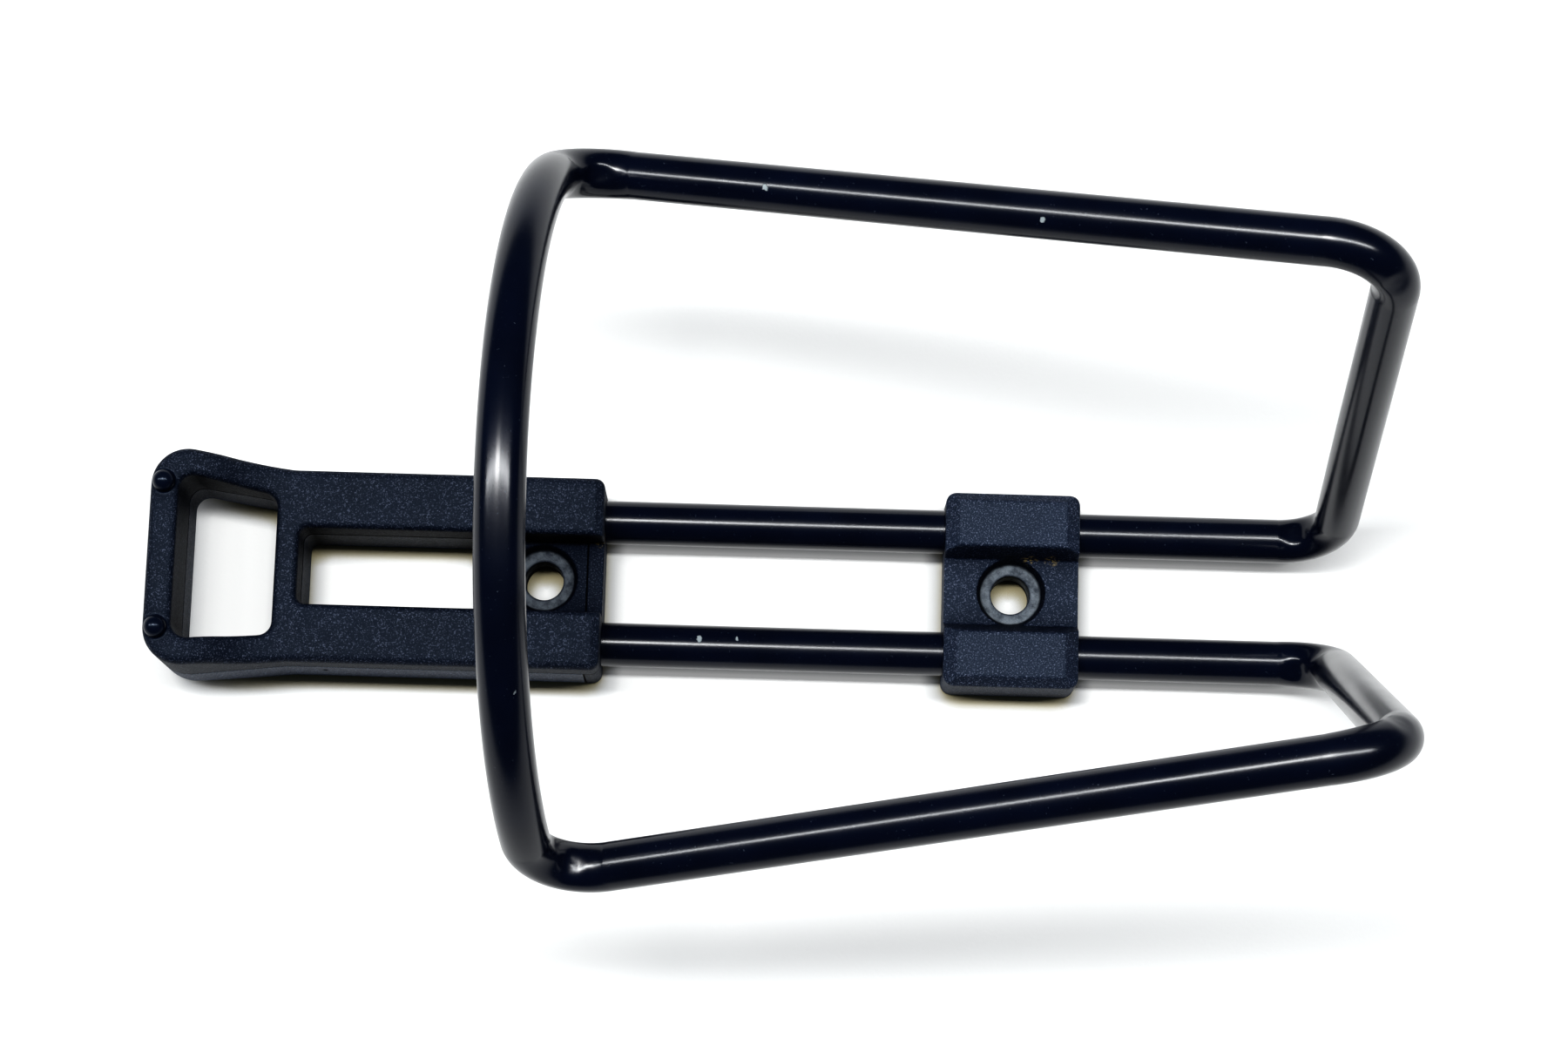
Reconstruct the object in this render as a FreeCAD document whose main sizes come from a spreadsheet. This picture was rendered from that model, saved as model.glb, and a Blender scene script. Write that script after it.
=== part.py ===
"""Bottle cage for a bicycle frame: one bent tube, a two-shell plastic bracket and a sliding plastic block.

Frame: X runs along the bicycle tube, from the cage's mouth (-X) to its foot (+X), Y across it and Z away
from it. The origin lies on the mounting plane, midway between the two frame bolts. Millimetres.
"""
import FreeCAD, Part
import math
import os
import re

import Sketcher
from FreeCAD import Placement, Rotation, Vector

SHEET = "Dimensions"
DIMENSIONS = {
    # frame bolts
    "bolt_spacing": 64.0,
    "bolt_hole": 5.3,
    # bent tube
    "tube_diameter": 6.0,
    "tube_bore": 4.0,
    "rail_offset": 8.5,
    "rail_height": 5.0,
    "rail_start": -39.0,
    "foot_x": 76.1,
    "foot_bend": 7.3,
    "shoulder_x": 72.9,
    "shoulder_y": 29.6,
    "shoulder_z": 79.9,
    "shoulder_bend": 7.8,
    "mouth_bend": 7.7,
    "hoop_leg": 10.0,
    "hoop_x": -27.7,
    "hoop_z": 44.7,
    "hoop_radius": 44.3,
    "hoop_start_angle": 22.3,
    "hoop_lean": 5.4,
    # bracket, shared by both shells
    "bracket_end": -23.8,
    "cover_end": -26.0,
    "beam_half": 13.2,
    "flare_start": -66.0,
    "tip_x": -84.5,
    "tip_half": 15.3,
    "tip_corner": 5.0,
    "flare_corner": 12.0,
    "end_corner": 1.3,
    "seam_height": 8.3,
    "loop_near": -68.1,
    "loop_far": -80.7,
    "loop_near_half": 9.5,
    "loop_far_half": 11.3,
    "loop_corner": 2.0,
    "slot_near": -40.4,
    "slot_far": -64.8,
    "slot_half": 5.1,
    "slot_corner": 1.2,
    "socket_gap": 0.03,
    # front shell
    "beam_top": 13.0,
    "end_bevel": 1.2,
    "end_bevel_drop": 0.8,
    "crest_x": -82.0,
    "crest_z": 18.4,
    "web_top": 7.5,
    "recess_slope": 1.5,
    "rib_half": 4.9,
    "rib_flange_half": 6.2,
    "rib_bottom": 4.6,
    "rib_shoulder": 5.9,
    "rib_flange_bottom": 7.3,
    "boss_diameter": 9.6,
    "bolt_seat": 8.1,
    "bolt_seat_depth": 2.0,
    "bolt_seat_slope": 18.0,
    "bump_radius": 1.5,
    "bump_x": -82.6,
    "bump_y": 9.9,
    "bump_z": 18.8,
    "top_edge": 1.2,
    "inner_edge": 0.9,
    # back shell
    "shell_gap": 0.05,
    "heel_rise": 4.0,
    "core_near": -43.0,
    "core_far": -62.0,
    "core_inner": 7.1,
    "core_outer": 11.5,
    "core_floor": 1.8,
    "seam_groove": 0.2,
    "heel_edge": 0.6,
    "vent_diameter": 0.6,
    "vent_depth": 0.9,
    "vent_x": -61.3,
    "vent_z": 5.5,
    # sliding block
    "block_length": 18.4,
    "block_half": 13.4,
    "lobe_top": 10.0,
    "lobe_wall": 8.6,
    "lobe_outer": 12.1,
    "lobe_inner": 5.9,
    "saddle_half": 4.5,
    "saddle_top": 6.6,
    "block_corner": 1.5,
    "block_bevel": 1.9,
    "block_bevel_drop": 1.5,
    "rim_edge": 0.6,
    "running_gap": 0.05,
}

doc = FreeCAD.newDocument("BottleCage")
sheet = doc.addObject("Spreadsheet::Sheet", SHEET)
for row, (word, size) in enumerate(DIMENSIONS.items(), start=1):
    sheet.set(f"A{row}", word)
    sheet.set(f"B{row}", str(size))
    sheet.setAlias(f"B{row}", word)
doc.recompute()


# ---------------------------------------------------------------- expressions

def in_sheet(text):
    """The expression with each dimension's name pointed at its cell."""
    words = re.split(r"([a-z_]+)", text)
    return "".join(f"{SHEET}.{word}" if word in DIMENSIONS else word for word in words)


def size(text):
    """The value of an expression of dimension names."""
    return float(sheet.evalExpression(in_sheet(text)))


def bind(item, prop, text):
    """Keep a property of an object equal to an expression of dimension names."""
    item.setExpression(prop, in_sheet(text))


# ---------------------------------------------------------------- sketches

def new_sketch(body, name, plane, offset="0"):
    """A sketch on one of the body's own origin planes, moved along the plane's normal."""
    sketch = body.newObject("Sketcher::SketchObject", name)
    origin_plane = next(item for item in body.Origin.OriginFeatures if item.Role == plane)
    sketch.AttachmentSupport = [(origin_plane, "")]
    sketch.MapMode = "FlatFace"
    sketch.AttachmentOffset = Placement(Vector(0, 0, size(offset)), Rotation())
    bind(sketch, "AttachmentOffset.Base.z", offset)
    return sketch


def dimension(sketch, kind, *place, text):
    """One driving constraint whose value is an expression."""
    index = sketch.addConstraint(Sketcher.Constraint(kind, *place, size(text)))
    bind(sketch, f"Constraints[{index}]", text)


def pin(sketch, edge, end, corner):
    """Fix one end of an edge at a corner given as two expressions."""
    dimension(sketch, "DistanceX", -1, 1, edge, end, text=corner[0])
    dimension(sketch, "DistanceY", -1, 1, edge, end, text=corner[1])


def outline(sketch, corners):
    """A closed polygon through corners given as pairs of expressions."""
    first = sketch.GeometryCount
    points = [Vector(size(x), size(y), 0) for x, y in corners]
    count = len(points)
    for index in range(count):
        sketch.addGeometry(Part.LineSegment(points[index], points[(index + 1) % count]), False)
    for index in range(count):
        following = first + (index + 1) % count
        sketch.addConstraint(Sketcher.Constraint("Coincident", first + index, 2, following, 1))
        pin(sketch, first + index, 1, corners[index])


def circle(sketch, centre, diameter):
    """A circle given by expressions."""
    index = sketch.GeometryCount
    middle = Vector(size(centre[0]), size(centre[1]), 0)
    sketch.addGeometry(Part.Circle(middle, Vector(0, 0, 1), size(diameter) / 2), False)
    pin(sketch, index, 3, centre)
    dimension(sketch, "Diameter", index, text=diameter)


def arc_between(sketch, start, end, centre, radius):
    """An arc from start to end, counter-clockwise about centre, all plain vectors."""
    angles = [math.atan2(point.y - centre.y, point.x - centre.x) for point in (start, end)]
    full = Part.Circle(centre, Vector(0, 0, 1), radius)
    return sketch.addGeometry(Part.ArcOfCircle(full, angles[0], angles[1]), False)


def rectangle(x_low, x_high, y_low, y_high):
    """The four corners of a rectangle, as expressions."""
    return [(x_low, y_low), (x_high, y_low), (x_high, y_high), (x_low, y_high)]


def mirrored(half):
    """Corners on the +second-axis side, followed by their mirror images in reverse."""
    return half + [(x, f"-({y})") for x, y in reversed(half)]


def mirrored_across(half):
    """Corners on the +first-axis side, followed by their mirror images in reverse."""
    return half + [(f"-({x})", y) for x, y in reversed(half)]


# ---------------------------------------------------------------- features

def new_body(name):
    body = doc.addObject("PartDesign::Body", name)
    body.Label = name
    return body


def pad(body, name, sketch, length, both_ways=False, backwards=False):
    feature = body.newObject("PartDesign::Pad", name)
    feature.Profile = sketch
    bind(feature, "Length", length)
    feature.SideType = "Symmetric" if both_ways else "One side"
    feature.Reversed = backwards
    doc.recompute()
    return feature


def pocket(body, name, sketch, length=None, forwards=True, slope=None, both_ways=False):
    """Cut along the sketch's normal (or against it); with no length the cut goes right through."""
    before = body.Tip.Shape.Volume
    feature = body.newObject("PartDesign::Pocket", name)
    feature.Profile = sketch
    feature.SideType = "Symmetric" if both_ways else "One side"
    feature.Reversed = forwards
    if length is None:
        feature.Type = "ThroughAll"
    else:
        bind(feature, "Length", length)
    if slope:
        bind(feature, "TaperAngle", slope)
    doc.recompute()
    if not feature.Shape.Volume < before - 1e-3:
        raise RuntimeError(f"{name} cuts nothing")
    return feature


def edges_of(feature, test):
    """Names of the feature's edges whose middle point, length and direction pass a test."""
    names = []
    for number, edge in enumerate(feature.Shape.Edges, start=1):
        middle = edge.valueAt((edge.FirstParameter + edge.LastParameter) / 2)
        span = edge.Vertexes[-1].Point - edge.Vertexes[0].Point
        if test(middle, span, edge):
            names.append(f"Edge{number}")
    return names


def soften(body, name, radius, test, kind="Fillet"):
    """Fillet or chamfer the edges of the body's tip that pass a test."""
    base = body.Tip
    feature = body.newObject(f"PartDesign::{kind}", name)
    names = edges_of(base, test)
    if not names:
        raise RuntimeError(f"{name} finds no edges")
    feature.Base = (base, names)
    bind(feature, "Radius" if kind == "Fillet" else "Size", radius)
    doc.recompute()
    return feature


def near(value, text, within=0.02):
    return abs(value - size(text)) < within


def upright(span):
    return abs(span.z) > 0.5 and math.hypot(span.x, span.y) < 1e-6


# ---------------------------------------------------------------- bent tube

def rounded_corner(before, corner, after, radius):
    """The tangent arc that rounds a corner of a path: its start, middle and end points."""
    inward = (before - corner).normalize()
    outward = (after - corner).normalize()
    half_turn = inward.getAngle(outward) / 2
    setback = radius / math.tan(half_turn)
    bisector = (inward + outward).normalize()
    centre = corner + bisector * (radius / math.sin(half_turn))
    return corner + inward * setback, centre - bisector * radius, corner + outward * setback


def hoop_point(angle):
    """A point of the hoop's circle; 0 degrees is towards +Y and 90 the crown."""
    lean = math.radians(size("hoop_lean"))
    upward = Vector(-math.sin(lean), 0, math.cos(lean))
    centre = Vector(size("hoop_x"), 0, size("hoop_z"))
    turn = math.radians(angle)
    return centre + (Vector(0, 1, 0) * math.cos(turn) + upward * math.sin(turn)) * size("hoop_radius")


def tube_path():
    """The tube's centre line: rail, foot bend, shoulder bend, arm, mouth bend and hoop, then back."""
    start_angle = size("hoop_start_angle")
    hoop_start = hoop_point(start_angle)
    tangent = (hoop_point(start_angle + 90) - Vector(size("hoop_x"), 0, size("hoop_z"))).normalize()
    rail_y = size("rail_offset")
    rail_z = size("rail_height")
    corners = [
        Vector(size("rail_start"), rail_y, rail_z),
        Vector(size("foot_x"), rail_y, rail_z),
        Vector(size("shoulder_x"), size("shoulder_y"), size("shoulder_z")),
        hoop_start - tangent * size("hoop_leg"),
        hoop_start,
    ]
    radii = [size("foot_bend"), size("shoulder_bend"), size("mouth_bend")]
    edges = []
    here = corners[0]
    for index, radius in enumerate(radii, start=1):
        start, middle, end = rounded_corner(corners[index - 1], corners[index], corners[index + 1], radius)
        edges.append(Part.LineSegment(here, start).toShape())
        edges.append(Part.Arc(start, middle, end).toShape())
        here = end
    edges.append(Part.LineSegment(here, hoop_start).toShape())
    half = Part.Wire(edges)
    other_half = half.mirror(Vector(0, 0, 0), Vector(0, 1, 0))
    crown = Part.Arc(hoop_start, hoop_point(90), hoop_point(180 - start_angle)).toShape()
    return Part.Wire(Part.__sortEdges__(half.Edges + [crown] + other_half.Edges))


def swept(path, diameter):
    start = Vector(size("rail_start"), size("rail_offset"), size("rail_height"))
    ring = Part.Wire([Part.Circle(start, Vector(1, 0, 0), diameter / 2).toShape()])
    return path.makePipeShell([ring], True, False)


def make_tube():
    path = tube_path()
    tube = doc.addObject("Part::Feature", "bent_tube")
    tube.Label = "bent_tube"
    tube.Shape = swept(path, size("tube_diameter")).cut(swept(path, size("tube_bore")))
    tube.Placement = Placement()
    ring_area = math.pi / 4 * (size("tube_diameter") ** 2 - size("tube_bore") ** 2)
    expected = ring_area * path.Length
    if abs(tube.Shape.Volume / expected - 1) > 0.01:
        raise RuntimeError("the tube's volume is not its section times its length")
    return tube


# ---------------------------------------------------------------- bracket

def bracket_plan(near_end):
    """Plan outline of a bracket shell: straight beams that flare towards the tip."""
    half = [(near_end, "beam_half"), ("flare_start", "beam_half"), ("tip_x", "tip_half")]
    return mirrored(half)


def cut_windows(body):
    """The bottle-catch loop near the tip and the long slot between the beams."""
    loop = new_sketch(body, "loop_sketch", "XY_Plane", "-1")
    outline(loop, mirrored([("loop_near", "loop_near_half"), ("loop_far", "loop_far_half")]))
    pocket(body, "loop", loop)
    slot = new_sketch(body, "slot_sketch", "XY_Plane", "-1")
    outline(slot, rectangle("slot_far", "slot_near", "-slot_half", "slot_half"))
    pocket(body, "slot", slot)


def is_loop_corner(middle, span, edge):
    far = near(middle.x, "loop_far") and near(abs(middle.y), "loop_far_half")
    close = near(middle.x, "loop_near") and near(abs(middle.y), "loop_near_half")
    return upright(span) and (far or close)


def is_slot_corner(middle, span, edge):
    """The slot's corners nearest the tip; they lean outwards where the recess slopes."""
    steep = abs(span.z) > 3 * math.hypot(span.x, span.y)
    at_end = near(middle.x, "slot_far", within=0.9)
    return steep and at_end and near(abs(middle.y), "slot_half", within=0.9)


def is_tip_corner(middle, span, edge):
    return upright(span) and near(middle.x, "tip_x") and near(abs(middle.y), "tip_half")


def is_end_corner(middle, span, edge):
    return upright(span) and near(middle.x, "bracket_end") and near(abs(middle.y), "beam_half")


def is_flare_corner(middle, span, edge):
    return upright(span) and near(middle.x, "flare_start") and near(abs(middle.y), "beam_half")


def is_plate_rim(middle, span, edge):
    """The rim of the front shell's top, all the way round, before any window is cut."""
    return middle.z > size("beam_top") - 0.01 and not upright(span) and on_outer_wall(middle)


def on_outer_wall(point):
    inside_half = size("beam_half") - 0.1
    past_tip = point.x < size("tip_x + tip_corner")
    past_end = point.x > size("bracket_end - end_corner")
    return abs(point.y) > inside_half or past_tip or past_end


def is_window_rim(middle, span, edge):
    """The upper rims of the loop and of the recess between the beams."""
    if upright(span) or middle.z < size("beam_top") - 0.01:
        return False
    return in_loop(middle) or in_recess(middle)


def in_loop(point):
    """True on the loop's outline and inside it."""
    along = size("loop_far") - 0.02 < point.x < size("loop_near") + 0.02
    return along and abs(point.y) < size("loop_far_half") + 0.02


def in_recess(point):
    """True on the recess's sloping sides and between them."""
    along = size("slot_far") - 0.8 < point.x < size("cover_end")
    return along and abs(point.y) < size("slot_half") + 0.8


def rib_profile(gap="0"):
    """Section across the web under the bolt seat, with flanges that join it to the beams' plates."""
    half = [
        (f"rib_flange_half + {gap}", "seam_height + 0.1"),
        (f"rib_flange_half + {gap}", f"rib_flange_bottom - {gap}"),
        (f"rib_half + {gap}", f"rib_shoulder - {gap}"),
        (f"rib_half + {gap}", f"rib_bottom - {gap}"),
    ]
    return mirrored_across(half)


def add_ramp_cut(body):
    """Cut the front shell's top: flat beams, then an S-shaped ramp up to the crossbar's crest."""
    ramp = new_sketch(body, "top_sketch", "XZ_Plane")
    run = "(flare_start - crest_x)"
    rise = "(crest_z - beam_top)"
    radius = f"({run} * {run} + {rise} * {rise}) / (4 * {rise})"
    corners = [
        ("bracket_end + 4", "beam_top"),
        ("flare_start", "beam_top"),
        ("(flare_start + crest_x) / 2", "(beam_top + crest_z) / 2"),
        ("crest_x", "crest_z"),
        ("tip_x - 4", "crest_z"),
        ("tip_x - 4", "crest_z + 6"),
        ("bracket_end + 4", "crest_z + 6"),
    ]
    points = [Vector(size(x), size(z), 0) for x, z in corners]
    count = len(points)
    hollow, crest = 1, 2
    for index in range(count):
        start = points[index]
        end = points[(index + 1) % count]
        if index == hollow:
            arc_between(ramp, end, start, start + Vector(0, size(radius), 0), size(radius))
        elif index == crest:
            arc_between(ramp, start, end, end - Vector(0, size(radius), 0), size(radius))
        else:
            ramp.addGeometry(Part.LineSegment(start, end), False)
    for index in range(count):
        following = (index + 1) % count
        last_end = 1 if index == hollow else 2
        next_end = 2 if following == hollow else 1
        ramp.addConstraint(Sketcher.Constraint("Coincident", index, last_end, following, next_end))
        pin(ramp, index, 2 if index == hollow else 1, corners[index])
    dimension(ramp, "Radius", hollow, text=radius)
    dimension(ramp, "Radius", crest, text=radius)
    pocket(body, "top_cut", ramp, both_ways=True)


def add_end_bevel(body):
    """A shallow bevel across the beams' mouth-side end, where the rails come out."""
    bevel = new_sketch(body, "bevel_sketch", "XZ_Plane")
    corners = [
        ("bracket_end - end_bevel", "beam_top"),
        ("bracket_end + end_bevel", "beam_top - 2 * end_bevel_drop"),
        ("bracket_end + end_bevel", "beam_top + 1"),
        ("bracket_end - end_bevel", "beam_top + 1"),
    ]
    outline(bevel, corners)
    pocket(body, "end_bevel", bevel, both_ways=True)


def add_bolt_seat(body, floor, x):
    """A bolt hole right through, with a conical seat above its floor."""
    hole = new_sketch(body, "bolt_sketch", "XY_Plane", "-1")
    circle(hole, (x, "0"), "bolt_hole")
    pocket(body, "bolt_hole", hole)
    seat = new_sketch(body, "seat_sketch", "XY_Plane", floor)
    circle(seat, (x, "0"), "bolt_seat")
    pocket(body, "bolt_seat", seat, length="bolt_seat_depth + 1", slope="bolt_seat_slope")


def make_bracket_front():
    body = new_body("bracket_front")
    plan = new_sketch(body, "plan_sketch", "XY_Plane", "seam_height")
    outline(plan, bracket_plan("bracket_end"))
    pad(body, "plate", plan, "crest_z + 2 - seam_height")
    end_wall = new_sketch(body, "end_wall_sketch", "XY_Plane")
    outline(end_wall, rectangle("cover_end", "bracket_end", "-beam_half", "beam_half"))
    pad(body, "end_wall", end_wall, "seam_height")
    soften(body, "end_corners", "end_corner", is_end_corner)
    soften(body, "tip_corners", "tip_corner", is_tip_corner)
    soften(body, "flare_corners", "flare_corner", is_flare_corner)
    add_ramp_cut(body)
    soften(body, "top_edges", "top_edge", is_plate_rim)
    add_end_bevel(body)
    rib = new_sketch(body, "rib_sketch", "YZ_Plane", "slot_near")
    outline(rib, rib_profile())
    pad(body, "rib", rib, "cover_end - slot_near + 0.5")
    boss = new_sketch(body, "boss_sketch", "XY_Plane")
    circle(boss, ("-bolt_spacing / 2", "0"), "boss_diameter")
    pad(body, "boss", boss, "rib_bottom + 0.5")
    cut_windows(body)
    recess = new_sketch(body, "recess_sketch", "XY_Plane", "web_top")
    outline(recess, rectangle("slot_far", "bracket_end + 5", "-slot_half", "slot_half"))
    pocket(body, "recess", recess, length="beam_top - web_top + 8", slope="recess_slope")
    soften(body, "loop_corners", "loop_corner", is_loop_corner)
    soften(body, "slot_corners", "slot_corner", is_slot_corner)
    soften(body, "window_edges", "inner_edge", is_window_rim)
    sockets = new_sketch(body, "socket_sketch", "YZ_Plane", "cover_end - 1")
    for side in ("", "-"):
        circle(sockets, (f"{side}rail_offset", "rail_height"), "tube_diameter + 2 * socket_gap")
    pocket(body, "sockets", sockets, length="bracket_end - cover_end + 3")
    add_bolt_seat(body, "web_top - bolt_seat_depth", "-bolt_spacing / 2")
    for side, name in ((1, "bump_left"), (-1, "bump_right")):
        bump = body.newObject("PartDesign::AdditiveSphere", name)
        centre = Vector(size("bump_x"), side * size("bump_y"), size("bump_z"))
        bump.Placement = Placement(centre, Rotation())
        bind(bump, "Radius", "bump_radius")
        doc.recompute()
    return body


def add_heel_cut(body):
    """Lift the back shell's underside in one arc from the flare to the tip."""
    heel = new_sketch(body, "heel_sketch", "XZ_Plane")
    run = "(flare_start - tip_x + 2)"
    radius = f"({run} * {run} + heel_rise * heel_rise) / (2 * heel_rise)"
    corners = [("flare_start", "0"), ("tip_x - 2", "heel_rise"), ("tip_x - 2", "-2"), ("flare_start", "-2")]
    points = [Vector(size(x), size(z), 0) for x, z in corners]
    arc_between(heel, points[1], points[0], points[0] + Vector(0, size(radius), 0), size(radius))
    heel.addGeometry(Part.LineSegment(points[1], points[2]), False)
    heel.addGeometry(Part.LineSegment(points[2], points[3]), False)
    heel.addGeometry(Part.LineSegment(points[3], points[0]), False)
    for edge, end, following in ((0, 1, 1), (1, 2, 2), (2, 2, 3)):
        heel.addConstraint(Sketcher.Constraint("Coincident", edge, end, following, 1))
    heel.addConstraint(Sketcher.Constraint("Coincident", 3, 2, 0, 2))
    pin(heel, 0, 2, corners[0])
    for edge in (1, 2, 3):
        pin(heel, edge, 1, corners[edge])
    dimension(heel, "Radius", 0, text=radius)
    pocket(body, "heel_cut", heel, both_ways=True)


def is_tray_heel(middle, span, edge):
    return middle.z < size("heel_rise") + 0.01 and not upright(span) and on_tray_wall(middle)


def is_seam_rim(middle, span, edge):
    return near(middle.z, "seam_height") and on_tray_wall(middle)


def on_tray_wall(point):
    """True on the tray's outer walls, away from the face that meets the front shell's end wall."""
    past_tip = point.x < size("tip_x + tip_corner")
    return abs(point.y) > size("beam_half") - 0.1 or past_tip


def make_bracket_back():
    body = new_body("bracket_back")
    plan = new_sketch(body, "plan_sketch", "XY_Plane")
    outline(plan, bracket_plan("cover_end"))
    pad(body, "tray", plan, "seam_height")
    soften(body, "tip_corners", "tip_corner", is_tip_corner)
    soften(body, "flare_corners", "flare_corner", is_flare_corner)
    add_heel_cut(body)
    soften(body, "heel_edges", "heel_edge", is_tray_heel)
    soften(body, "seam_groove", "seam_groove", is_seam_rim, kind="Chamfer")
    cut_windows(body)
    soften(body, "loop_corners", "loop_corner", is_loop_corner)
    soften(body, "slot_corners", "slot_corner", is_slot_corner)
    rib = new_sketch(body, "rib_sketch", "YZ_Plane", "slot_near - 1")
    outline(rib, rib_profile("shell_gap"))
    pocket(body, "rib_seat", rib, length="cover_end - slot_near + 2")
    boss = new_sketch(body, "boss_sketch", "XY_Plane", "-1")
    circle(boss, ("-bolt_spacing / 2", "0"), "boss_diameter + 2 * shell_gap")
    pocket(body, "boss_hole", boss, length="rib_bottom + 2")
    grooves = new_sketch(body, "groove_sketch", "YZ_Plane", "rail_start")
    for side in ("", "-"):
        circle(grooves, (f"{side}rail_offset", "rail_height"), "tube_diameter + 2 * socket_gap")
    pocket(body, "groove_floors", grooves, length="cover_end - rail_start + 1")
    throats = new_sketch(body, "throat_sketch", "XY_Plane", "rail_height")
    cores = new_sketch(body, "core_sketch", "XY_Plane", "core_floor")
    for side in ("", "-"):
        inner = f"{side}(rail_offset - tube_diameter / 2 - socket_gap)"
        outer = f"{side}(rail_offset + tube_diameter / 2 + socket_gap)"
        outline(throats, rectangle("rail_start", "cover_end + 1", inner, outer))
        outline(cores, rectangle("core_far", "core_near", f"{side}core_inner", f"{side}core_outer"))
    pocket(body, "groove_throats", throats, length="seam_height")
    pocket(body, "cores", cores, length="seam_height")
    vent = new_sketch(body, "vent_sketch", "XZ_Plane", "beam_half - vent_depth")
    circle(vent, ("vent_x", "vent_z"), "vent_diameter")
    pocket(body, "vent", vent, length="vent_depth + 1")
    return body


# ---------------------------------------------------------------- sliding block

def is_block_corner(middle, span, edge):
    at_end = near(abs(middle.x - size("bolt_spacing / 2")), "block_length / 2")
    return upright(span) and at_end and near(abs(middle.y), "block_half")


def is_lobe_ridge(middle, span, edge):
    """The long edges along the lobes' tops and walls."""
    along_rails = abs(span.x) > size("block_length / 2")
    return along_rails and middle.z > size("lobe_wall") - 0.01


def add_block_bevels(body):
    """Bevel both ends of both lobes."""
    bevels = new_sketch(body, "bevels_sketch", "XZ_Plane")
    bevel_foot = "lobe_top - block_bevel_drop * (block_bevel + 1) / block_bevel"
    for side in ("", "-"):
        corners = [
            (f"bolt_spacing / 2 + {side}(block_length / 2 - block_bevel)", "lobe_top"),
            (f"bolt_spacing / 2 + {side}(block_length / 2 + 1)", bevel_foot),
            (f"bolt_spacing / 2 + {side}(block_length / 2 + 1)", "lobe_top + 1"),
            (f"bolt_spacing / 2 + {side}(block_length / 2 - block_bevel)", "lobe_top + 1"),
        ]
        outline(bevels, corners)
    pocket(body, "end_bevels", bevels, both_ways=True)


def make_block():
    body = new_body("mount_block")
    section = new_sketch(body, "section_sketch", "YZ_Plane", "bolt_spacing / 2")
    half = [
        ("saddle_half", "saddle_top"),
        ("lobe_inner", "lobe_top"),
        ("lobe_outer", "lobe_top"),
        ("block_half", "lobe_wall"),
        ("block_half", "0"),
    ]
    outline(section, mirrored_across(half))
    pad(body, "section", section, "block_length", both_ways=True)
    soften(body, "block_corners", "block_corner", is_block_corner)
    add_block_bevels(body)
    soften(body, "lobe_ridges", "rim_edge", is_lobe_ridge)
    bores = new_sketch(body, "bore_sketch", "YZ_Plane", "bolt_spacing / 2")
    for side in ("", "-"):
        circle(bores, (f"{side}rail_offset", "rail_height"), "tube_diameter + 2 * running_gap")
    pocket(body, "rail_bores", bores, both_ways=True)
    add_bolt_seat(body, "saddle_top - bolt_seat_depth", "bolt_spacing / 2")
    return body


# ---------------------------------------------------------------- build and write

def check(parts):
    for item in doc.Objects:
        if "Invalid" in item.State or "Error" in item.State:
            raise RuntimeError(f"{item.Name} failed to build")
    for part in parts:
        if part.Shape.isNull() or not part.Shape.isValid() or len(part.Shape.Solids) != 1:
            raise RuntimeError(f"{part.Label} is not one valid solid")


def main():
    parts = [make_tube(), make_bracket_front(), make_bracket_back(), make_block()]
    doc.recompute()
    check(parts)
    os.makedirs("parts", exist_ok=True)
    for part in parts:
        part.Shape.exportStep(f"parts/{part.Label}.step")
        box = part.Shape.BoundBox
        print(part.Label, f"{part.Shape.Volume:.0f} mm3", box)


main()
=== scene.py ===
"""Looks of the bicycle bottle cage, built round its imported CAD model. Metres; +X runs to the cage's foot."""

import math

import bmesh
import bpy
from mathutils import Matrix, Vector


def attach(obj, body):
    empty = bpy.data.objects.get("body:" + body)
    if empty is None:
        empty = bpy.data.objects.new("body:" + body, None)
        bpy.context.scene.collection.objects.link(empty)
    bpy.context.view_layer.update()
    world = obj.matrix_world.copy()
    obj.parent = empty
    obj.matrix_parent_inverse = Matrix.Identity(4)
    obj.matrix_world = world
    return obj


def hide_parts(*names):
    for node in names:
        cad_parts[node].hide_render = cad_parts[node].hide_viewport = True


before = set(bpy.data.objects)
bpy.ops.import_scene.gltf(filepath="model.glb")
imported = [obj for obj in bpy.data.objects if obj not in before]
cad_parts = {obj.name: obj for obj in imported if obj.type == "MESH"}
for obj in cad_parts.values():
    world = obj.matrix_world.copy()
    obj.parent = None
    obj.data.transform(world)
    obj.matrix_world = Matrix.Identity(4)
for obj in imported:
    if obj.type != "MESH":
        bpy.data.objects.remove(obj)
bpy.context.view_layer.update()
scene = bpy.context.scene
MM = 0.001


def mm(x, y, z):
    return Vector((x, y, z)) * MM


# ---------------------------------------------------------------- camera

SENSOR_WIDTH = 36
FOCAL_LENGTH = 79.87
CAMERA_PLACE = mm(-0.167, -82.42, 475.81)
CAMERA_RIGHT = Vector((0.99959837, 0.02743394, 0.00710418))
CAMERA_UP = Vector((-0.02828586, 0.98119366, 0.19094218))
CAMERA_BACK = Vector((-0.00173228, -0.19106644, 0.98157558))

lens = bpy.data.cameras.new("camera")
lens.sensor_fit = "HORIZONTAL"
lens.sensor_width = SENSOR_WIDTH
lens.lens = FOCAL_LENGTH
lens.clip_start = 0.01
camera = bpy.data.objects.new("camera", lens)
scene.collection.objects.link(camera)
axes = Matrix((CAMERA_RIGHT, CAMERA_UP, CAMERA_BACK)).transposed()
camera.matrix_world = Matrix.Translation(CAMERA_PLACE) @ axes.to_4x4()
scene.camera = camera


# ---------------------------------------------------------------- node helpers

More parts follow.
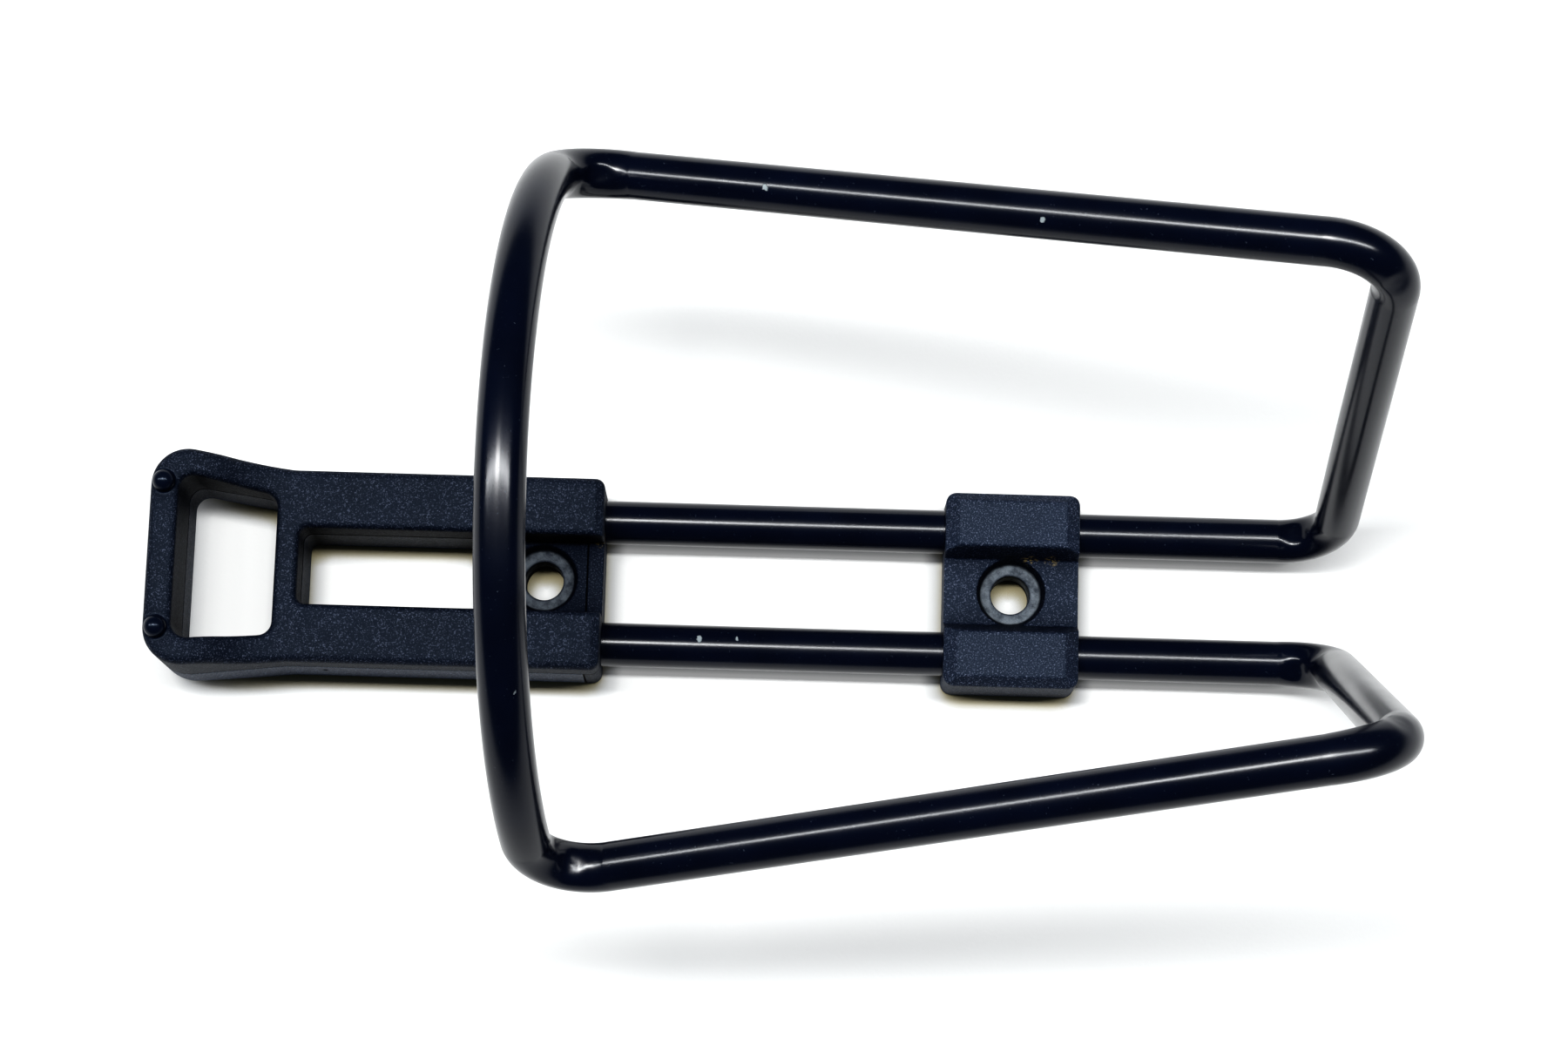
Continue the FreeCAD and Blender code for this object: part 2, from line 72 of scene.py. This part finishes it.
class Nodes:
    """A small writer of shader nodes: each call adds a node and returns its output."""

    def __init__(self, material):
        material.use_nodes = True
        self.tree = material.node_tree
        self.shader = self.tree.nodes.get("Principled BSDF")
        self.place = self.add("ShaderNodeTexCoord").outputs["Object"]

    def add(self, kind, **settings):
        node = self.tree.nodes.new(kind)
        for name, value in settings.items():
            setattr(node, name, value)
        return node

    def feed(self, socket, value):
        if isinstance(value, bpy.types.NodeSocket):
            self.tree.links.new(value, socket)
        else:
            socket.default_value = value

    def noise(self, scale, detail=2.0, roughness=0.5):
        node = self.add("ShaderNodeTexNoise")
        self.feed(node.inputs["Vector"], self.place)
        node.inputs["Scale"].default_value = scale
        node.inputs["Detail"].default_value = detail
        node.inputs["Roughness"].default_value = roughness
        return node.outputs["Fac"]

    def span(self, value, low, high, to_low=0.0, to_high=1.0):
        node = self.add("ShaderNodeMapRange", clamp=True)
        self.feed(node.inputs["Value"], value)
        limits = {"From Min": low, "From Max": high, "To Min": to_low, "To Max": to_high}
        for name, number in limits.items():
            node.inputs[name].default_value = number
        return node.outputs["Result"]

    def math(self, operation, first, second=0.0):
        node = self.add("ShaderNodeMath", operation=operation)
        self.feed(node.inputs[0], first)
        self.feed(node.inputs[1], second)
        return node.outputs[0]

    def mix(self, amount, first, second):
        node = self.add("ShaderNodeMix", data_type="RGBA")
        self.feed(node.inputs["Factor"], amount)
        self.feed(node.inputs["A"], first)
        self.feed(node.inputs["B"], second)
        return node.outputs["Result"]

    def bump(self, height, distance, strength=1.0, under=None):
        node = self.add("ShaderNodeBump")
        node.inputs["Strength"].default_value = strength
        node.inputs["Distance"].default_value = distance
        self.feed(node.inputs["Height"], height)
        if under is not None:
            self.feed(node.inputs["Normal"], under)
        return node.outputs["Normal"]

    def distance_to(self, point, place=None):
        node = self.add("ShaderNodeVectorMath", operation="DISTANCE")
        self.feed(node.inputs[0], place or self.place)
        node.inputs[1].default_value = point
        return node.outputs["Value"]

    def line(self, letter, at, full, none):
        """One round the plane where a coordinate is at a value, fading to zero away from it."""
        gap = self.math("ABSOLUTE", self.math("SUBTRACT", self.axis(letter), at * MM))
        return self.span(gap, full * MM, none * MM, 1.0, 0.0)

    def axis(self, letter):
        """One coordinate of the place."""
        node = self.add("ShaderNodeSeparateXYZ")
        self.feed(node.inputs[0], self.place)
        return node.outputs[letter]

    def shift(self, amount, scale):
        """The place, pushed about by a coloured noise: gives spots ragged outlines."""
        cloud = self.add("ShaderNodeTexNoise")
        self.feed(cloud.inputs["Vector"], self.place)
        cloud.inputs["Scale"].default_value = scale
        node = self.add("ShaderNodeVectorMath", operation="MULTIPLY_ADD")
        self.feed(node.inputs[0], cloud.outputs["Color"])
        node.inputs[1].default_value = (amount,) * 3
        self.feed(node.inputs[2], self.place)
        return node.outputs["Vector"]

    def set(self, **values):
        """Values or sockets for the shader's inputs, named with underscores for spaces."""
        for name, value in values.items():
            self.feed(self.shader.inputs[name.replace("_", " ")], value)


# ---------------------------------------------------------------- materials

SEAM_Z = 8.3         # height of the split between the bracket's shells, mm
COVER_END = -26.0    # x of the back shell's end under the rails, mm

# paint chips: place and radius in mm
CHIPS = [
    (mm(-10.4, -7.8, 7.9), 0.36),
    (mm(-5.3, -7.8, 7.9), 0.24),
    (mm(-2.9, 40.2, 62.25), 0.28),
    (mm(30.6, 34.4, 71.1), 0.25),
    (mm(-29.7, -26.65, 83.15), 0.14),
]

# how far noise pushes the outlines of chips and crumbs about
CHIP_PUSH = 1.0 * MM
CRUMB_PUSH = 1.2 * MM

# how far the AO looks: for the painted shade in the plastics' hollows, and for the floor's painted contact
# shadows
CAVITY_REACH = 14 * MM
CONTACT_REACH = 2.9 * MM

PAINT_DEEP, PAINT_PALE = (0.0012, 0.0026, 0.0085, 1), (0.0020, 0.0040, 0.0125, 1)
PAINT_DUST = (0.12, 0.14, 0.17, 1)
PAINT_CHIP = (0.22, 0.25, 0.26, 1)
PLASTIC_DEEP, PLASTIC_PALE = (0.0036, 0.0070, 0.0170), (0.0058, 0.0106, 0.0245)
# lighter specks of the grain: painted glints
PLASTIC_GLINT = (0.22, 0.25, 0.35)
# painted shade for the plastic's hollows
PLASTIC_CAVITY_SHADE = (0.0012, 0.0022, 0.0060, 1)
PLASTIC_DOME = (0.0035, 0.006, 0.014, 1)
PLASTIC_WORN = (0.17, 0.19, 0.21, 1)
PLASTIC_CRUMB = (0.16, 0.12, 0.045, 1)
# painted shade in the seam, at the back shell's end and in the pinhole
PLASTIC_GAP_SHADE = (0.0006, 0.0010, 0.0020, 1)
FLOOR_DEEP, FLOOR_PALE = (0.47, 0.47, 0.465, 1), (0.50, 0.50, 0.495, 1)
# the floor's painted contact shadows: darker, warmer colour and a weaker glow
FLOOR_CONTACT_SHADOW = (0.30, 0.26, 0.15, 1)
GLOW_CONTACT_SHADOW, GLOW_OPEN = (0.55, 0.48, 0.25, 1), (1.0, 0.995, 0.98, 1)


def paint_material():
    """Gloss navy-black paint over metal tube: orange peel, faint dust, small chips."""
    material = bpy.data.materials.new("gloss_navy_paint")
    n = Nodes(material)
    cloud = n.noise(140, detail=3)
    base = n.mix(n.span(cloud, 0.3, 0.7), PAINT_DEEP, PAINT_PALE)
    dust = n.span(n.noise(2600, detail=2), 0.70, 0.76)
    base = n.mix(n.math("MULTIPLY", dust, 0.22), base, PAINT_DUST)
    ragged = n.shift(CHIP_PUSH, 1150)
    chips = 0.0
    for point, radius in CHIPS:
        gap = n.distance_to(point + Vector((CHIP_PUSH / 2,) * 3), ragged)
        spot = n.span(gap, radius * MM, (radius + 0.12) * MM, 1.0, 0.0)
        chips = n.math("MAXIMUM", spot, chips)
    base = n.mix(chips, base, PAINT_CHIP)
    smears = n.span(n.noise(60, detail=4, roughness=0.6), 0.35, 0.75, 0.20, 0.27)
    n.set(Base_Color=base, Roughness=n.math("ADD", smears, n.math("MULTIPLY", chips, 0.25)))
    n.set(IOR=1.38, Coat_Weight=0.2, Coat_Roughness=0.15, Coat_IOR=1.4)
    peel = n.bump(n.noise(420, detail=1), 0.01 * MM, 0.35)
    n.set(Normal=n.bump(chips, -0.06 * MM, 1.0, under=peel))
    return material


def plastic_material(name, tone, seat=None, wear=0.0, dirt=(), polished=(), shell=False, pinhole=None):
    """Spark-eroded navy plastic: fine grain with painted glints, crumbs of dirt, a worn ring in the bolt seat,
    painted shade in its hollows.

    tone scales its brightness and reflections, giving the pieces lit and shaded copies of one plastic as
    painted light and shade;
    wear scales the ring's; polished holds the places of smooth domes; shell paints shade as a dark line in the
    seam and at the back shell's end, and pinhole paints shade as a dark spot at a small hole.
    """
    material = bpy.data.materials.new(name)
    n = Nodes(material)
    grain = n.noise(4800, detail=2, roughness=0.65)
    coarse = n.noise(1500, detail=3, roughness=0.6)
    cloud = n.noise(90, detail=4, roughness=0.6)
    # painted shade: the colour darkens to near black in hollows that the AO finds, and the reflections weaken
    # there too (Specular IOR Level below)
    cavity = n.add("ShaderNodeAmbientOcclusion", samples=8, only_local=True)
    cavity.inputs["Distance"].default_value = CAVITY_REACH
    openness = n.math("POWER", cavity.outputs["AO"], 2.5)
    deep, pale, glint = [
        tuple(tone * channel for channel in colour) + (1,)
        for colour in (PLASTIC_DEEP, PLASTIC_PALE, PLASTIC_GLINT)
    ]
    base = n.mix(n.span(cloud, 0.3, 0.7), deep, pale)
    # painted glints: lighter specks of the grain, mixed into the colour
    glint_specks = n.math("MULTIPLY", n.span(grain, 0.55, 0.70), n.span(coarse, 0.35, 0.7, 0.7, 1.0))
    base = n.mix(n.math("MULTIPLY", glint_specks, 0.66), base, glint)
    base = n.mix(openness, PLASTIC_CAVITY_SHADE, base)
    rough = n.span(coarse, 0.3, 0.7, 0.53, 0.62)
    domes = 0.0
    for point in polished:
        dome = n.span(n.distance_to(point), 1.6 * MM, 2.1 * MM, 1.0, 0.0)
        domes = n.math("MAXIMUM", dome, domes)
    base = n.mix(domes, base, PLASTIC_DOME)
    rough = n.math("MULTIPLY", rough, n.math("SUBTRACT", 1.0, n.math("MULTIPLY", domes, 0.6)))
    moulded = n.math("SUBTRACT", 1.0, domes)
    normal = n.bump(n.math("MULTIPLY", grain, moulded), 0.10 * MM, 0.9)
    normal = n.bump(n.math("MULTIPLY", coarse, moulded), 0.10 * MM, 0.5, under=normal)
    if seat is not None:
        from_seat = n.distance_to(seat)
        inner, outer = n.span(from_seat, 2.6 * MM, 3.0 * MM), n.span(from_seat, 4.3 * MM, 4.0 * MM)
        ring = n.math("MULTIPLY", inner, outer)
        scuffs = n.span(n.noise(700, detail=5, roughness=0.7), 0.36, 0.62, 0.3 * wear, wear)
        scuffed = n.math("MULTIPLY", ring, scuffs)
        base = n.mix(scuffed, base, PLASTIC_WORN)
        rough = n.math("SUBTRACT", rough, n.math("MULTIPLY", scuffed, 0.18))
    ragged = n.shift(CRUMB_PUSH, 900)
    for point, radius in dirt:
        gap = n.distance_to(point + Vector((CRUMB_PUSH / 2,) * 3), ragged)
        spot = n.span(gap, radius * 0.4 * MM, radius * MM, 1.0, 0.0)
        crumbs = n.math("MULTIPLY", spot, n.span(n.noise(2400, detail=3), 0.48, 0.56))
        base = n.mix(crumbs, base, PLASTIC_CRUMB)
    # painted shade: a dark line in the seam and at the back shell's end, a dark spot at the pinhole, with
    # weaker reflections there too
    shade = 0.0
    if shell:
        below_seam = n.math("LESS_THAN", n.axis("Z"), SEAM_Z * MM)
        end_gap = n.math("MULTIPLY", n.line("X", COVER_END, 0.08, 0.20), below_seam)
        shade = n.math("MAXIMUM", n.line("Z", SEAM_Z, 0.13, 0.26), end_gap)
    if pinhole is not None:
        hole_shade = n.span(n.distance_to(pinhole), 0.35 * MM, 0.50 * MM, 1.0, 0.0)
        shade = n.math("MAXIMUM", shade, hole_shade)
    base = n.mix(shade, base, PLASTIC_GAP_SHADE)
    openness = n.math("MULTIPLY", openness, n.math("SUBTRACT", 1.0, n.math("MULTIPLY", shade, 0.9)))
    n.set(Base_Color=base, Roughness=rough, Normal=normal, IOR=1.38)
    n.set(Specular_Tint=(0.70, 0.83, 1.0, 1))
    n.set(Specular_IOR_Level=n.math("MULTIPLY", openness, 0.5 * tone))
    return material


# ---------------------------------------------------------------- bent tube

# lengths here are in mm
TUBE_RADIUS = 3.0
BORE_SHARE = 2 / 3                 # bore's radius over the tube's
BORE_DEPTH = 9.0                   # how far the bore is open at each end of the tube
RING = 56                          # corners round the tube
HOOP_CENTRE = Vector((-27.7, 0, 44.7))
HOOP_RADIUS = 44.3
HOOP_START = math.radians(22.3)
HOOP_LEAN = math.radians(5.4)
RAIL_END = Vector((-38, 8.5, 5))
FOOT_CORNER = Vector((76.1, 8.5, 5))
ARM_CORNER = Vector((72.9, 29.6, 79.9))
BEND_RADII = (7.3, 7.8, 7.7)       # foot, arm's far end, arm's start at the hoop
FINE, EVEN, LONG = 0.22, 0.7, 2.0  # steps in bends, on the hoop and on straight runs
CLOSE = 6                          # how far from a bend the short steps go on

# how a bend changes the radius: flat on its inside, a little flat outside, swollen at the sides
INSIDE_FLAT, OUTSIDE_FLAT, SIDE_SWELL = 0.34, 0.16, 0.14


def hoop_point(turn):
    upward = Vector((-math.sin(HOOP_LEAN), 0, math.cos(HOOP_LEAN)))
    return HOOP_CENTRE + (Vector((0, 1, 0)) * math.cos(turn) + upward * math.sin(turn)) * HOOP_RADIUS


def tube_stations():
    """Stations along half the tube, from rail end to hoop crown: place, bend's inside, share of bend."""
    start = hoop_point(HOOP_START)
    tangent = (hoop_point(HOOP_START + math.pi / 2) - HOOP_CENTRE).normalized()
    corners = [RAIL_END, FOOT_CORNER, ARM_CORNER, start - tangent * 10, start]
    stations = []

    def run(a, b, near_start, near_end):
        """A straight run, with close stations near the bends it touches."""
        length = (b - a).length
        at = 0.0
        while at < length:
            stations.append((a.lerp(b, at / length), None, None))
            close = (near_start and at < CLOSE) or (near_end and length - at < CLOSE)
            at += FINE * 1.5 if close else LONG

    here = corners[0]
    for number, radius in enumerate(BEND_RADII, start=1):
        before, corner, after = corners[number - 1], corners[number], corners[number + 1]
        inward = (before - corner).normalized()
        outward = (after - corner).normalized()
        half = inward.angle(outward) / 2
        setback = radius / math.tan(half)
        centre = corner + (inward + outward).normalized() * (radius / math.sin(half))
        first, last = corner + inward * setback, corner + outward * setback
        run(here, first, number > 1, True)
        sweep = math.pi - 2 * half
        u = first - centre
        w = (last - centre) - (last - centre).project(u)
        w = w.normalized() * radius
        steps = int(sweep * radius / FINE)
        for k in range(steps):
            turn = sweep * k / steps
            place = centre + u * math.cos(turn) + w * math.sin(turn)
            stations.append((place, (centre - place).normalized(), k / steps))
        here = last
    run(here, start, True, False)
    quarter = math.pi / 2 - HOOP_START
    steps = int(quarter * HOOP_RADIUS / EVEN)
    for k in range(steps + 1):
        stations.append((hoop_point(HOOP_START + quarter * k / steps), None, None))
    return stations


def smooth(x):
    x = min(max(x, 0.0), 1.0)
    return x * x * (3 - 2 * x)


# thumb-shaped dents that the bending tool left: place, half length, half width and depth in mm
DENT_REACH = 4
DENTS = [
    (Vector((70.6, 9.2, 8.5)), 2.1, 2.2, 0.36),
    (Vector((70.6, -10.2, 8.2)), 2.1, 2.2, 0.36),
    (Vector((-23.6, 42.3, 58.2)), 2.1, 2.2, 0.36),
    (Vector((-23.9, -43.6, 57.6)), 2.1, 2.2, 0.36),
    (Vector((72.4, 26.6, 76.3)), 2.0, 1.7, 0.15),
    (Vector((72.4, -26.6, 76.3)), 2.0, 1.7, 0.15),
]


def mirrored(vector):
    """The vector on the cage's other side; None stays None."""
    return vector and Vector((vector.x, -vector.y, vector.z))


def bent_radius(outward, inside, share):
    """The tube's radius in a direction, inside a bend at a share of its length."""
    depth = math.sin(math.pi * share) ** 0.7
    facing = outward.dot(inside)
    flat = INSIDE_FLAT * max(facing, 0.0) ** 2 + OUTSIDE_FLAT * max(-facing, 0.0) ** 2
    return TUBE_RADIUS - depth * flat + depth * SIDE_SWELL * (1 - abs(facing)) ** 2


def dented(point, outward, ahead):
    """A point of the tube's skin, pushed in where a dent reaches it."""
    for centre, half_length, half_width, depth in DENTS:
        gap = point - centre
        if gap.length > DENT_REACH:
            continue
        along = gap.dot(ahead) / half_length
        across = (gap - ahead * gap.dot(ahead) - outward * gap.dot(outward)).length / half_width
        reach = along * along + across * across
        if reach < 1:
            point = point - outward * depth * smooth(1.25 * (1 - math.sqrt(reach)))
    return point


def open_end(mesh, ring):
    """An end of the tube: its cut wall, and a bore closed out of sight."""
    centre = sum((v.co for v in ring), Vector()) / RING
    bore = [mesh.verts.new(centre + (vert.co - centre) * BORE_SHARE) for vert in ring]
    bottom = [mesh.verts.new(vert.co + mm(BORE_DEPTH, 0, 0)) for vert in bore]
    for k in range(RING):
        after = (k + 1) % RING
        mesh.faces.new((ring[k], ring[after], bore[after], bore[k]))
        mesh.faces.new((bore[k], bore[after], bottom[after], bottom[k]))
    mesh.faces.new(bottom)


def build_tube():
    half = tube_stations()
    stations = half + [(mirrored(place), mirrored(inside), share) for place, inside, share in half[-2::-1]]
    places = [station[0] for station in stations]
    mesh = bmesh.new()
    rings = []
    side = Vector((0, 1, 0))
    last = len(stations) - 1
    for i, (place, inside, share) in enumerate(stations):
        ahead = (places[min(i + 1, last)] - places[max(i - 1, 0)]).normalized()
        side = (side - side.project(ahead)).normalized()
        other = ahead.cross(side)
        ring = []
        for k in range(RING):
            turn = 2 * math.pi * k / RING
            outward = side * math.cos(turn) + other * math.sin(turn)
            radius = TUBE_RADIUS if inside is None else bent_radius(outward, inside, share)
            point = dented(place + outward * radius, outward, ahead)
            ring.append(mesh.verts.new(point * MM))
        rings.append(ring)
    for first, second in zip(rings, rings[1:]):
        for k in range(RING):
            after = (k + 1) % RING
            mesh.faces.new((first[k], second[k], second[after], first[after]))
    for ring in (rings[0], rings[-1]):
        open_end(mesh, ring)
    bmesh.ops.recalc_face_normals(mesh, faces=mesh.faces)
    data = bpy.data.meshes.new("painted_tube")
    mesh.to_mesh(data)
    mesh.free()
    for face in data.polygons:
        face.use_smooth = True
    tube = bpy.data.objects.new("painted_tube", data)
    scene.collection.objects.link(tube)
    return tube


# ---------------------------------------------------------------- moulded plastic

def apply_modifiers(piece):
    graph = bpy.context.evaluated_depsgraph_get()
    mesh = bpy.data.meshes.new_from_object(piece.evaluated_get(graph))
    piece.modifiers.clear()
    piece.data = mesh


SMOOTHING = 3                      # passes that soften a remeshed copy


def moulded_copy(node, name, voxel, keep):
    """A copy of a CAD solid with every edge softened as a mould leaves it.

    voxel is the remesh's grain in mm and keep the share of faces left at the end.
    """
    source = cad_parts[node]
    data = source.data.copy()
    mesh = bmesh.new()
    mesh.from_mesh(data)
    bmesh.ops.remove_doubles(mesh, verts=mesh.verts, dist=1e-7)
    mesh.to_mesh(data)
    mesh.free()
    piece = bpy.data.objects.new(name, data)
    scene.collection.objects.link(piece)
    remesh = piece.modifiers.new("remesh", "REMESH")
    remesh.mode = "VOXEL"
    remesh.voxel_size = voxel * MM
    remesh.use_smooth_shade = True
    softer = piece.modifiers.new("softer", "SMOOTH")
    softer.factor = 0.5
    softer.iterations = SMOOTHING
    thinner = piece.modifiers.new("thinner", "DECIMATE")
    thinner.ratio = keep
    apply_modifiers(piece)
    for face in piece.data.polygons:
        face.use_smooth = True
    return piece


def dress(piece, material, body, slot, *nodes):
    piece.data.materials.clear()
    piece.data.materials.append(material)
    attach(piece, body)
    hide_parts(*nodes)


tube = build_tube()
dress(tube, paint_material(), "cage", "tube_paint", "bent_tube")

BOLT_X = 32                        # each bolt's distance from the middle, mm
# the three pieces share one plastic; a lower tone on the front shell and a higher one on the back shell make
# shaded and lit copies of it: painted shade and painted light
front = moulded_copy("bracket_front", "moulded_front_shell", 0.16, 0.3)
front_dirt = [(mm(-24.3, 5.6, 7.6), 1.2), (mm(-23.9, 6.2, 6.4), 1.0)]
front_domes = [mm(-82.6, 9.9, 18.8), mm(-82.6, -9.9, 18.8)]
front_finish = plastic_material(
    "navy_plastic_front", 0.58, seat=mm(-BOLT_X, 0, 5.5), wear=0.4, dirt=front_dirt,
    polished=front_domes, shell=True,
)
dress(front, front_finish, "cage", "bracket_plastic", "bracket_front")

back = moulded_copy("bracket_back", "moulded_back_shell", 0.16, 0.3)
back_finish = plastic_material("navy_plastic_back", 1.5, shell=True, pinhole=mm(-61.3, -13.2, 5.5))
dress(back, back_finish, "cage", "cover_plastic", "bracket_back")

block = moulded_copy("mount_block", "moulded_mount_block", 0.14, 0.35)
block_dirt = [(mm(34.5, 5.0, 6.8), 1.3), (mm(37.5, 5.0, 6.8), 1.2)]
block_finish = plastic_material(
    "navy_plastic_block", 1.0, seat=mm(BOLT_X, 0, 4.6), wear=0.8, dirt=block_dirt,
)
dress(block, block_finish, "block", "block_plastic", "mount_block")


# ---------------------------------------------------------------- floor and light

FLOOR_HALF = 6.0                   # metres
FLOOR_DROP = 0.0001


def floor_material():
    """Pale card that glows a little, with painted contact shadows: darker, warmer colour and a weaker glow."""
    material = bpy.data.materials.new("pale_floor")
    n = Nodes(material)
    tone = n.mix(n.span(n.noise(9, detail=3), 0.3, 0.7), FLOOR_DEEP, FLOOR_PALE)
    contact = n.add("ShaderNodeAmbientOcclusion", samples=12)
    contact.inputs["Distance"].default_value = CONTACT_REACH
    # rays that lean to +Y put the contact shadows on the -Y side of each piece
    lean = n.add("ShaderNodeCombineXYZ")
    lean.inputs["Y"].default_value = 0.72
    lean.inputs["Z"].default_value = 0.69
    n.feed(contact.inputs["Normal"], lean.outputs["Vector"])
    openness = n.math("POWER", contact.outputs["AO"], 3.8)
    # painted contact shadow: where the AO finds a piece close by, the floor turns darker and warmer and glows
    # less
    out_of_shadow = n.span(openness, 0.02, 0.27)
    tone = n.mix(out_of_shadow, FLOOR_CONTACT_SHADOW, tone)
    glow = n.mix(out_of_shadow, GLOW_CONTACT_SHADOW, GLOW_OPEN)
    n.set(Base_Color=tone, Roughness=0.85, Emission_Color=glow)
    n.set(Emission_Strength=n.math("MULTIPLY", openness, 0.25))
    n.set(Normal=n.bump(n.noise(1800, detail=2), 0.05 * MM, 0.4))
    return material


floor_mesh = bpy.data.meshes.new("floor")
floor_corners = [(x * FLOOR_HALF, y * FLOOR_HALF, 0) for x, y in ((-1, -1), (1, -1), (1, 1), (-1, 1))]
floor_mesh.from_pydata(floor_corners, [], [(0, 1, 2, 3)])
floor = bpy.data.objects.new("floor", floor_mesh)
scene.collection.objects.link(floor)
floor.data.materials.append(floor_material())
floor.location.z = -FLOOR_DROP


def area_light(name, place, width, depth, power, colour):
    """A rectangular light that faces straight down."""
    data = bpy.data.lights.new(name, "AREA")
    data.shape = "RECTANGLE"
    data.size = width
    data.size_y = depth
    data.energy = power
    data.color = colour
    light = bpy.data.objects.new(name, data)
    scene.collection.objects.link(light)
    light.location = place


area_light("strip", (-0.30, 0.10, 1.0), 2.3, 0.10, 19.5, (0.97, 0.99, 1.0))
area_light("panel", (-0.18, 0.12, 1.01), 0.25, 0.16, 2.4, (1.0, 0.99, 0.97))

world = bpy.data.worlds.new("studio")
scene.world = world
world.use_nodes = True
background = world.node_tree.nodes["Background"]
background.inputs["Color"].default_value = (0.55, 0.72, 1.0, 1)
background.inputs["Strength"].default_value = 0.075

scene.view_settings.view_transform = "Standard"
scene.view_settings.look = "High Contrast"
